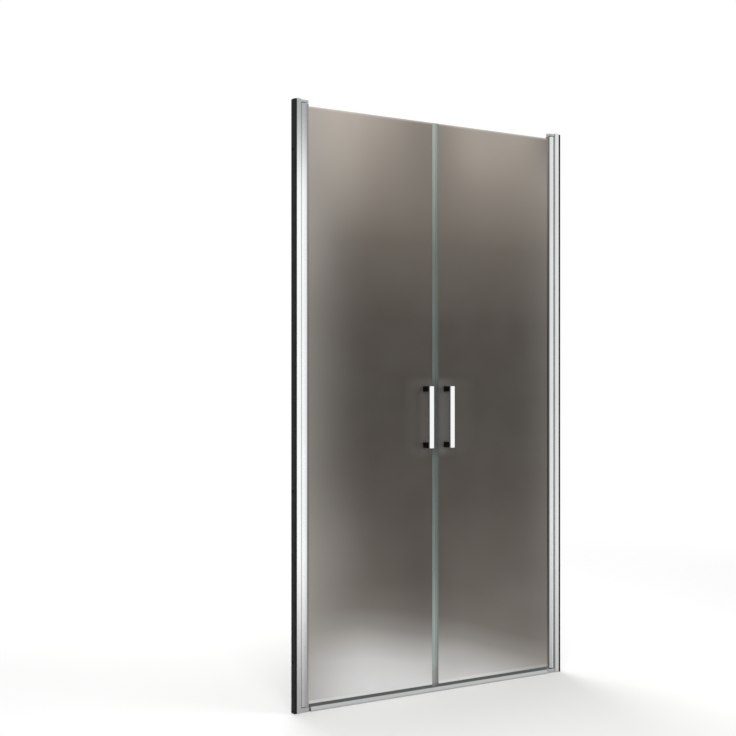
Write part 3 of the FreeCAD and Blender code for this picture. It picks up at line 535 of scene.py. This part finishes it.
def clear_strip(name):
    """Soft clear strip with a green tint, painted with the light and shade of the glass beside it."""
    material, tree = new_material(name)
    across, _, up = tree.place()
    tone = tree.up_the_door(up, SEAL_TONES)
    # Painted shade over the right leaf's strip.
    tone = tree.mix(tree.rise(across, *RIGHT_SEAL_SHADE_PLACES, 0.0, RIGHT_SEAL_SHADE_SHARE), tone, BLACK)
    tone = tree.mix(level_with_handles(tree, up, SEAL_SHADE), tone, BLACK)
    streaks = tree.noise(per_metre=1200.0, stretch=LINES_ALONG_Z, detail=2.0)
    surface(
        tree,
        Base_Color=tree.mix(tree.spread(streaks, 0.0, STREAK_SHARE), tone, STREAK_TONE),
        Roughness=tree.spread(streaks, 0.15, 0.28),
        Transmission_Weight=0.3,
        IOR=1.45,
        Specular_IOR_Level=0.3,
        Normal=tree.bump(streaks, depth=0.02 * MM),
    )
    return material


# Deeper and paler tone of the bottom seal's lips, painted dark as the shade under the panes, and of its
# clip, painted with the pale light at the foot of the glass, and the heights from the foot of the panes
# between which the lips give way to the clip.
LIP_TONES = ((0.064, 0.067, 0.066), (0.096, 0.101, 0.099))
CLIP_TONES = ((0.66, 0.67, 0.66), (0.76, 0.77, 0.76))
CLIP_START = (-1.5 * MM, 0.5 * MM)

# The clip is painted greyer with shade towards both hinges: places along the door where that starts and
# ends, share and tone.
CLIP_SHADE_BY_HINGES = (
    ((0.1, 0.5), 1.0, (0.36, 0.355, 0.345)),
    ((-0.3, -0.45), 0.45, (0.46, 0.46, 0.455)),
)


def smoke_strip(name):
    """Soft strip with lips painted smoke-dark as shade and a clip painted with the pale foot of the glass.
    """
    material, tree = new_material(name)
    across, _, up = tree.place()
    pane_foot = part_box("left_glass")[0][2]
    streaks = tree.noise(per_metre=900.0, stretch=LINES_ALONG_X, detail=2.0)
    lips = tree.mix(streaks, *LIP_TONES)
    clip = tree.mix(streaks, *CLIP_TONES)
    for places, share, grey in CLIP_SHADE_BY_HINGES:
        clip = tree.mix(tree.rise(across, *places, 0.0, share), clip, grey)
    on_clip = tree.rise(up, *(pane_foot + height for height in CLIP_START))
    surface(
        tree,
        Base_Color=tree.mix(on_clip, lips, clip),
        Roughness=tree.spread(streaks, 0.3, 0.45),
        Transmission_Weight=0.1,
        IOR=1.45,
        Normal=tree.bump(streaks, depth=0.02 * MM),
    )
    return material


# Painted light and shade on the glazing gaskets up the door: height in metres, and lightness on the left
# and right leaf.
GASKET_LIGHT_AND_SHADE_TONES = (
    (0.00, 0.480, 0.200),
    (0.20, 0.270, 0.080),
    (0.50, 0.155, 0.035),
    (1.10, 0.145, 0.030),
    (1.40, 0.190, 0.080),
    (1.60, 0.260, 0.170),
    (1.80, 0.360, 0.240),
)
GASKET_WARMTH = 0.3

# Darker streaks along the gaskets.
DARK_STREAK_SHARE = 0.3
DARK_STREAK_TONE = (0.02, 0.02, 0.021)


def grey_strip(name):
    """Soft grey strip: painted shade by the deep grey glass, painted light at both ends and on the left
    leaf.
    """
    material, tree = new_material(name)
    across, _, up = tree.place()
    left = tree.up_the_door(up, [(height, warm(grey, GASKET_WARMTH)) for height, grey, _ in GASKET_LIGHT_AND_SHADE_TONES])
    right = tree.up_the_door(up, [(height, warm(grey, GASKET_WARMTH)) for height, _, grey in GASKET_LIGHT_AND_SHADE_TONES])
    tone = tree.mix(tree.math("GREATER_THAN", across, 0.0), left, right)
    streaks = tree.noise(per_metre=900.0, stretch=LINES_ALONG_Z, detail=2.0)
    surface(
        tree,
        Base_Color=tree.mix(tree.spread(streaks, 0.0, DARK_STREAK_SHARE), tone, DARK_STREAK_TONE),
        Roughness=tree.spread(streaks, 0.5, 0.7),
        Specular_IOR_Level=0.25,
        Normal=tree.bump(streaks, depth=0.02 * MM),
    )
    return material


# Which finish goes where

SLOT_FINISHES = {
    "bracket_metal": cast_metal,
    "steel": turned_steel,
    "chrome": chrome,
    "frosted_glass": satin_glass,
    "smoke_seal": smoke_strip,
    "clear_seal": clear_strip,
}

# Roughness of the bright extrusions, of the dull ones behind them and of the threshold.
BRIGHT_ROUGHNESS = 0.22
DULL_ROUGHNESS = 0.35
THRESHOLD_ROUGHNESS = 0.3

# Distances in metres from a pivot to where the hinge profile's jaws leave its round part, and to their tips.
JAW_ROOT = 7 * MM
JAW_TIP = 14 * MM

# Painted shade on the upright profiles: heights where they begin and finish turning greyer, and how much
# each side's do: share of grey at the foot, at the head and on the jaws.
PROFILE_SHADE_FOOT = (0.50, 0.0)
PROFILE_SHADE_HEAD = (1.50, DOOR_HEIGHT)
PROFILE_SHADE_SHARES = {"left": (0.60, 0.68, 0.6), "right": (0.30, 0.0, 1.0)}
X_AXIS = 0
Z_AXIS = 2


def slot_materials():
    """The finish of each material slot apart from the extrusions, and that of the glazing gaskets."""
    materials = {slot: finish(slot) for slot, finish in SLOT_FINISHES.items()}
    for slot, looks in MOULDED_FINISHES.items():
        materials[slot] = moulded(slot, *looks)
    materials["glazing_gasket"] = grey_strip("gasket_rubber_painted_light")
    return materials


def extrusion_materials():
    """The aluminium of each extrusion, by its node."""
    materials = {
        "threshold_rail": extruded_aluminium(
            "threshold_aluminium", THRESHOLD_TONES, THRESHOLD_ROUGHNESS, LINES_ALONG_X
        )
    }
    joints = {joint["name"]: joint for joint in record["behaviour"]["joints"]}
    pivot = joints["right_swing"]["pos_m"][X_AXIS]
    # Each side gets its own copy of the aluminium: painted lighter on the left and darker on the right, with
    # painted shade at the foot, at the head and on the jaws.
    for side, (foot, head, jaws) in PROFILE_SHADE_SHARES.items():
        ends = [(Z_AXIS, *PROFILE_SHADE_FOOT, foot), (Z_AXIS, *PROFILE_SHADE_HEAD, head)]
        shaded_jaws = (X_AXIS, pivot - JAW_ROOT, pivot - JAW_TIP, jaws)
        for piece, tones, roughness, painted_shade_parts in (
            ("wall_profile", SIDE_LIT_BRIGHT_TONES[side], BRIGHT_ROUGHNESS, ends),
            ("hinge_profile", SIDE_LIT_BRIGHT_TONES[side], BRIGHT_ROUGHNESS, ends + [shaded_jaws]),
            ("jamb_profile", DULL_TONES, DULL_ROUGHNESS, ends),
        ):
            node = f"{side}_{piece}"
            materials[node] = extruded_aluminium(
                f"{node}_aluminium", tones, roughness, LINES_ALONG_Z, painted_shade_parts
            )
    return materials


def dress_nodes(materials):
    """Give every CAD node its own aluminium, or the material of its slot."""
    extrusions = extrusion_materials()
    for entry in record["subparts"]:
        node = entry["node"]
        mesh = nodes[node].data
        mesh.materials.clear()
        mesh.materials.append(extrusions.get(node) or materials[entry["material_slot"]])


# Soft strips. A section is drawn in millimetres, in half or in full, and drawn out along one axis.

# Angle in degrees over which a corner of a strip stays sharp.
SHARP_ANGLE = 35

# Gap between a strip and the glass that it clips on.
GLASS_GAP = 0.04


def bend(start, control, end, steps):
    """Points along a smooth bend between two points, without the first one."""
    points = []
    for step in range(1, steps + 1):
        t = step / steps
        points.append(tuple(
            (1 - t) ** 2 * a + 2 * t * (1 - t) * b + t ** 2 * c for a, b, c in zip(start, control, end)
        ))
    return points


def mirrored(half):
    """A closed outline from one half of it, reflected in its second coordinate."""
    return half + [(u, -v) for u, v in reversed(half)]


def strip_mesh(name, outlines, span, place):
    """Mesh of a section drawn out over a span, where place turns (u, v, along) into a point in metres."""
    builder = bmesh.new()
    caps = ([], [])
    for outline in outlines:
        rings = [[builder.verts.new(place(u, v, along)) for u, v in outline] for along in span]
        following = [ring[1:] + ring[:1] for ring in rings]
        for a, b, c, d in zip(rings[0], following[0], following[1], rings[1]):
            builder.faces.new((a, b, c, d))
        for cap, ring, after in zip(caps, rings, following):
            cap += [builder.edges.get(pair) for pair in zip(ring, after)]
    for cap in caps:
        bmesh.ops.triangle_fill(builder, edges=cap, use_beauty=True)
    bmesh.ops.recalc_face_normals(builder, faces=builder.faces)
    mesh = bpy.data.meshes.new(name)
    builder.to_mesh(mesh)
    builder.free()
    return mesh


def upright_mesh(node, outlines, sign, start, way):
    """Mesh of a strip as high as its node, with u from a start at one side, outwards (1) or inwards (-1)."""
    low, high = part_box(node)

    def place(u, v, along):
        return (sign * (start + way * u) * MM, v * MM, along)

    return strip_mesh(f"{node}_strip", outlines, (low[2], high[2]), place)


def lying_mesh(node, outlines):
    """Mesh of a strip along X as long as its node, with u upwards."""
    low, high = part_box(node)

    def place(u, v, along):
        return (along, v * MM, u * MM)

    return strip_mesh(f"{node}_strip", outlines, (low[0], high[0]), place)


def reach(node):
    """Least and greatest distance of a node from the middle of the doorway, in millimetres."""
    low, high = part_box(node)
    return sorted(abs(x) / MM for x in (low[0], high[0]))


def half_depth(node):
    """Half the depth of a node, in millimetres."""
    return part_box(node)[1][1] / MM


def add_strip(mesh, node, body, material):
    """Put a strip in place of the CAD node that it details."""
    mesh.polygons.foreach_set("use_smooth", [True] * len(mesh.polygons))
    mesh.set_sharp_from_angle(angle=math.radians(SHARP_ANGLE))
    mesh.materials.append(material)
    strip = bpy.data.objects.new(mesh.name, mesh)
    scene.collection.objects.link(strip)
    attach(strip, body)
    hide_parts(node)


# Magnet seal in millimetres: rounding of its nose and shoulders, depth of the waist between nose and legs,
# how far the legs stand back at their roots and along them, length of their curls, of the curls' faces
# and of their rounding, and the wall round the magnet.
NOSE_ROUNDING = 0.9
WAIST_DEPTH = 0.7
LEG_ROOT_SETBACK = 0.1
LEG_SETBACK = 0.2
CURL_LENGTH = 1.6
CURL_FACE = 1.2
CURL_ROUNDING = 0.1
MAGNET_WALL = 1.3


def magnet_seal_section(length, half, glass_half, grip):
    """Nose with a magnet chamber, and two legs that curl in on the glass."""
    root = length - grip
    clear = glass_half + GLASS_GAP
    nose = (0.0, half - NOSE_ROUNDING)
    shoulder = (root - NOSE_ROUNDING, half)
    leg_root = (root + NOSE_ROUNDING, half - LEG_ROOT_SETBACK)
    curl = (length - CURL_LENGTH, half - LEG_SETBACK)
    curl_tip = (length - CURL_ROUNDING, clear + CURL_ROUNDING)
    outer = [nose]
    outer += bend(nose, (0.0, half), (NOSE_ROUNDING, half), steps=4)
    outer += [shoulder]
    outer += bend(shoulder, (root, half - WAIST_DEPTH), leg_root, steps=4)
    outer += [curl]
    outer += bend(curl, (length, half - LEG_SETBACK), curl_tip, steps=4)
    outer += [(length - CURL_FACE, clear), (root + GLASS_GAP, clear)]
    chamber = [(u, glass_half) for u in (MAGNET_WALL, root - MAGNET_WALL)]
    return [mirrored(outer), mirrored(chamber)]


def add_magnet_seals(materials):
    """Clear seals on the free edges of the two panes."""
    for side, sign in SIDES.items():
        node = f"{side}_magnet_seal"
        glass = f"{side}_glass"
        face, back = reach(node)
        pane_edge = reach(glass)[0]
        section = magnet_seal_section(back - face, half_depth(node), half_depth(glass), back - pane_edge)
        mesh = upright_mesh(node, section, sign, face, 1)
        add_strip(mesh, node, f"{side}_leaf", materials["clear_seal"])


# Bottom seal in millimetres: thickness of its clip, the face, rounding and shoulder of the clip's rims, how
# far the heels reach above and below its web, and then the lips: their thickness at the tip and at the root,
# the hollow of their outer face, and the heights over the tip that their outer and inner faces lean to.
CLIP_THICKNESS = 1.2
CLIP_RIM_FACE = 1.0
CLIP_RIM_ROUNDING = 0.1
CLIP_RIM_SHOULDER = 0.5
HEEL_ABOVE = 0.8
HEEL_BELOW = 0.6
LIP_TIP = 0.7
LIP_ROOT = 1.3
LIP_HOLLOW = 0.2
LIP_OUTER_LEAN = 2.4
LIP_INNER_LEAN = 2.2


def bottom_seal_section(tip_half, foot, rim, glass_half, glass_foot):
    """Clip on the pane's lower edge with two lips that sweep out over the threshold."""
    clear = glass_half + GLASS_GAP
    leg = glass_half + CLIP_THICKNESS
    web = glass_foot - CLIP_THICKNESS
    rim_start = (rim - CLIP_RIM_FACE, clear)
    rim_top = (rim - CLIP_RIM_ROUNDING, leg - CLIP_RIM_SHOULDER)
    heel = (web + HEEL_ABOVE, leg)
    lip_root = (web - HEEL_BELOW, glass_half)
    tip = (foot, tip_half)
    tip_inside = (foot, tip_half - LIP_TIP)
    inner_root = glass_half - LIP_ROOT
    half = [(glass_foot - GLASS_GAP, clear), rim_start]
    half += bend(rim_start, (rim, clear + CLIP_RIM_ROUNDING), rim_top, steps=3)
    half += bend(rim_top, (rim - CLIP_RIM_ROUNDING, leg), (rim - CLIP_THICKNESS, leg), steps=3)
    half += [heel]
    half += bend(heel, (web, leg), lip_root, steps=4)
    half += bend(lip_root, (foot + LIP_OUTER_LEAN, glass_half - LIP_HOLLOW), tip, steps=8)
    half += [tip_inside]
    half += bend(tip_inside, (foot + LIP_INNER_LEAN, inner_root), (web, inner_root), steps=8)
    return [mirrored(half)]


def add_bottom_seals(materials):
    """Smoke-grey seals under the two panes."""
    for side in SIDES:
        node = f"{side}_bottom_seal"
        glass = f"{side}_glass"
        foot, rim = (corner[2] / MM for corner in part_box(node))
        pane_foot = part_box(glass)[0][2] / MM
        section = bottom_seal_section(half_depth(node), foot, rim, half_depth(glass), pane_foot)
        mesh = lying_mesh(node, section)
        add_strip(mesh, node, f"{side}_leaf", materials["smoke_seal"])


# Glazing gasket in millimetres: length of its lips, their beads, each with a groove before it, and the bevel
# at their tips. The points of a groove and bead are (distance from their start, height over the channel's
# side), and their bends lean to two of them.
GASKET_LIP = 5.4
BEADS = 2
BEAD_LENGTH = 2.4
GROOVE_LEAN = (0.4, -0.9)
GROOVE_BOTTOM = (0.8, -0.35)
BEAD_LEAN = (1.6, 0.3)
BEAD_END = (BEAD_LENGTH, -0.2)
GASKET_BEVEL_ALONG = 0.2
GASKET_BEVEL_ACROSS = 0.1


def glazing_gasket_section(length, half, glass_half, root):
    """Channel round the pane's edge whose lips end in two beads beyond the jaws."""
    clear = glass_half + GLASS_GAP
    lip = length - GASKET_LIP
    half_outline = [(0.0, half), (lip, half)]
    for bead in range(BEADS):
        start = lip + bead * BEAD_LENGTH
        groove_lean, groove, bead_lean, bead_end = (
            (start + along, half + height)
            for along, height in (GROOVE_LEAN, GROOVE_BOTTOM, BEAD_LEAN, BEAD_END)
        )
        half_outline += bend((start, half), groove_lean, groove, steps=3)
        half_outline += bend(groove, bead_lean, bead_end, steps=5)
    half_outline += [(length, clear + GASKET_BEVEL_ACROSS), (length - GASKET_BEVEL_ALONG, clear)]
    half_outline += [(root, clear)]
    return [mirrored(half_outline)]


def add_glazing_gaskets(materials):
    """Dark gaskets between the panes and the hinge profiles."""
    for side, sign in SIDES.items():
        node = f"{side}_glazing_gasket"
        glass = f"{side}_glass"
        lip, back = reach(node)
        pane_edge = reach(glass)[1]
        section = glazing_gasket_section(back - lip, half_depth(node), half_depth(glass), back - pane_edge)
        mesh = upright_mesh(node, section, sign, back, -1)
        add_strip(mesh, node, f"{side}_leaf", materials["glazing_gasket"])


# Wall gasket in millimetres: ribs on its outer side, bevels on both sides and a hollow along each flank.
# A rib's width and the start and end of the groove after it are shares of the ribs' pitch.
WALL_RIBS = 4
RIB_DEPTH = 0.9
RIB_WIDTH = 0.6
RIB_GROOVE = (0.7, 0.9)
OUTER_BEVEL = 0.8
INNER_BEVEL = 0.6
FLANK_HOLLOW = 0.8
GASKET_HOLE_RADIUS = 4 * MM
HOLE_SEGMENTS = 40


def wall_gasket_section(thickness, half):
    """Strip with bevelled corners, a hollow along each flank and ribs on its outer side."""
    inside = thickness - INNER_BEVEL
    hollow = half - FLANK_HOLLOW
    outline = [(thickness, INNER_BEVEL - half), (thickness, half - INNER_BEVEL), (inside, half)]
    outline += bend((inside, half), (thickness / 2, hollow), (OUTER_BEVEL, half), steps=6)
    pitch = 2 * (half - OUTER_BEVEL) / WALL_RIBS
    for rib in range(WALL_RIBS):
        top = half - OUTER_BEVEL - rib * pitch
        outline += [(0.0, top), (0.0, top - pitch * RIB_WIDTH)]
        if rib < WALL_RIBS - 1:
            outline += [(RIB_DEPTH, top - pitch * edge) for edge in RIB_GROOVE]
    outline += [(OUTER_BEVEL, -half)]
    outline += bend((OUTER_BEVEL, -half), (thickness / 2, -hollow), (inside, -half), steps=6)
    return [outline]


def drill_mesh(heights, radius, length):
    """Rods along X in the plane of the door, at some heights."""
    builder = bmesh.new()
    for height in heights:
        made = bmesh.ops.create_cone(
            builder, cap_ends=True, segments=HOLE_SEGMENTS, radius1=radius, radius2=radius, depth=length
        )
        for vertex in made["verts"]:
            x, y, z = vertex.co
            vertex.co = (z, y, x + height)
    bmesh.ops.recalc_face_normals(builder, faces=builder.faces)
    mesh = bpy.data.meshes.new("drills")
    builder.to_mesh(mesh)
    builder.free()
    return mesh


def drilled(mesh, drills):
    """A mesh with the room of the drills cut out of it."""
    blank, drill = (bpy.data.objects.new(part.name, part) for part in (mesh, drills))
    for part in (blank, drill):
        scene.collection.objects.link(part)
    cut = blank.modifiers.new("holes", "BOOLEAN")
    cut.operation = "DIFFERENCE"
    cut.solver = "EXACT"
    cut.object = drill
    bpy.context.view_layer.update()
    result = bpy.data.meshes.new_from_object(blank.evaluated_get(bpy.context.evaluated_depsgraph_get()))
    result.name = mesh.name
    for scrap in (blank, drill):
        bpy.data.objects.remove(scrap)
    return result


def wall_screw_heights(side):
    """Heights of the wall screws at one side, in metres."""
    mounts = {mount["name"]: mount for mount in record["mounts"]}
    heights = []
    for pair in ("outer", "inner"):
        mount = mounts[f"{side}_wall_screws_{pair}"]
        half_spacing = mount["dims"]["spacing_y_mm"] * MM / 2
        heights += [mount["pos_m"][Z_AXIS] - half_spacing, mount["pos_m"][Z_AXIS] + half_spacing]
    return heights


def add_wall_gaskets(materials):
    """Ribbed black strips behind the wall profiles, with holes for the wall screws."""
    for side, sign in SIDES.items():
        node = f"{side}_wall_gasket"
        inside, outside = reach(node)
        section = wall_gasket_section(outside - inside, half_depth(node))
        mesh = upright_mesh(node, section, sign, outside, -1)
        drills = drill_mesh(wall_screw_heights(side), GASKET_HOLE_RADIUS, 4 * outside * MM)
        mesh = drilled(mesh, drills)
        add_strip(mesh, node, "frame", materials["black_rubber"])


# Light, background and floor. A strength of 1 is white.
FILL_STRENGTH = 0.5
BACKGROUND_STRENGTH = 1.0

# Soft boxes: place and size in metres, and power in watts. They stand at the front left, at the front
# right, on the inside and over the floor.
LAMPS = {
    "key": ((-2.2, -3.6, 3.0), 2.6, 92),
    "fill": ((3.0, -3.0, 2.0), 2.6, 48),
    "back": ((0.6, 3.6, 2.6), 2.6, 85),
    "top": ((0.0, 0.0, 5.0), 2.0, 45),
}

# Floor in metres: its radius, where it starts to fade, and how far it lies under the door.
FLOOR_RADIUS = 4.0
FLOOR_FADE_START = 0.9
FLOOR_DROP = 0.5 * MM
FLOOR_SIDES = 128
PAPER_TONES = ((0.91, 0.91, 0.905), (0.94, 0.94, 0.935))


def add_world():
    """Even fill light, and a white background that metal and glass show too."""
    world = bpy.data.worlds.new("studio")
    scene.world = world
    tree = Tree(world)
    rays = tree.add("LightPath").outputs
    fill = tree.add("Background", {"Color": WHITE, "Strength": FILL_STRENGTH})
    white = tree.add("Background", {"Color": WHITE, "Strength": BACKGROUND_STRENGTH})
    mirrored_or_through = tree.math("MAXIMUM", rays["Is Glossy Ray"], rays["Is Transmission Ray"])
    seen = tree.math("MAXIMUM", rays["Is Camera Ray"], mirrored_or_through)
    light = tree.add("MixShader", {0: seen, 1: fill.outputs[0], 2: white.outputs[0]})
    tree.add("OutputWorld", {"Surface": light.outputs[0]})


def add_lamp(name, place, size, power):
    """Square soft box that faces the middle of the door."""
    data = bpy.data.lights.new(name, "AREA")
    data.size = size
    data.energy = power
    lamp = bpy.data.objects.new(name, data)
    lamp.location = place
    lamp.visible_glossy = False
    towards = Vector((0.0, 0.0, DOOR_HEIGHT / 2)) - lamp.location
    lamp.rotation_euler = towards.to_track_quat("-Z", "Y").to_euler()
    scene.collection.objects.link(lamp)


def add_lamps():
    """All the soft boxes."""
    for name, values in LAMPS.items():
        add_lamp(name, *values)


def floor_paper(name):
    """Pale paper with faint fibres that fades out into the background."""
    material, tree = new_material(name)
    point = tree.add("TexCoord").outputs["Object"]
    distance = tree.add("VectorMath", {0: point}, operation="LENGTH").outputs["Value"]
    fibres = tree.noise(per_metre=300.0)
    paper = tree.add("BsdfDiffuse", {"Color": tree.mix(fibres, *PAPER_TONES)})
    clear = tree.add("BsdfTransparent")
    fade = tree.rise(distance, FLOOR_FADE_START, FLOOR_RADIUS)
    blend = tree.add("MixShader", {0: fade, 1: paper.outputs[0], 2: clear.outputs[0]})
    tree.add("OutputMaterial", {"Surface": blend.outputs[0]})
    return material


def add_floor():
    """Pale floor that keeps the door's shadow."""
    bpy.ops.mesh.primitive_circle_add(vertices=FLOOR_SIDES, radius=FLOOR_RADIUS, fill_type="NGON")
    floor = bpy.context.object
    floor.name = "floor"
    floor.location.z = -FLOOR_DROP
    floor.data.materials.append(floor_paper("floor_paper"))


scene.view_settings.view_transform = "Standard"
add_camera()
add_world()
add_lamps()
add_floor()
finishes = slot_materials()
dress_nodes(finishes)
add_magnet_seals(finishes)
add_bottom_seals(finishes)
add_glazing_gaskets(finishes)
add_wall_gaskets(finishes)
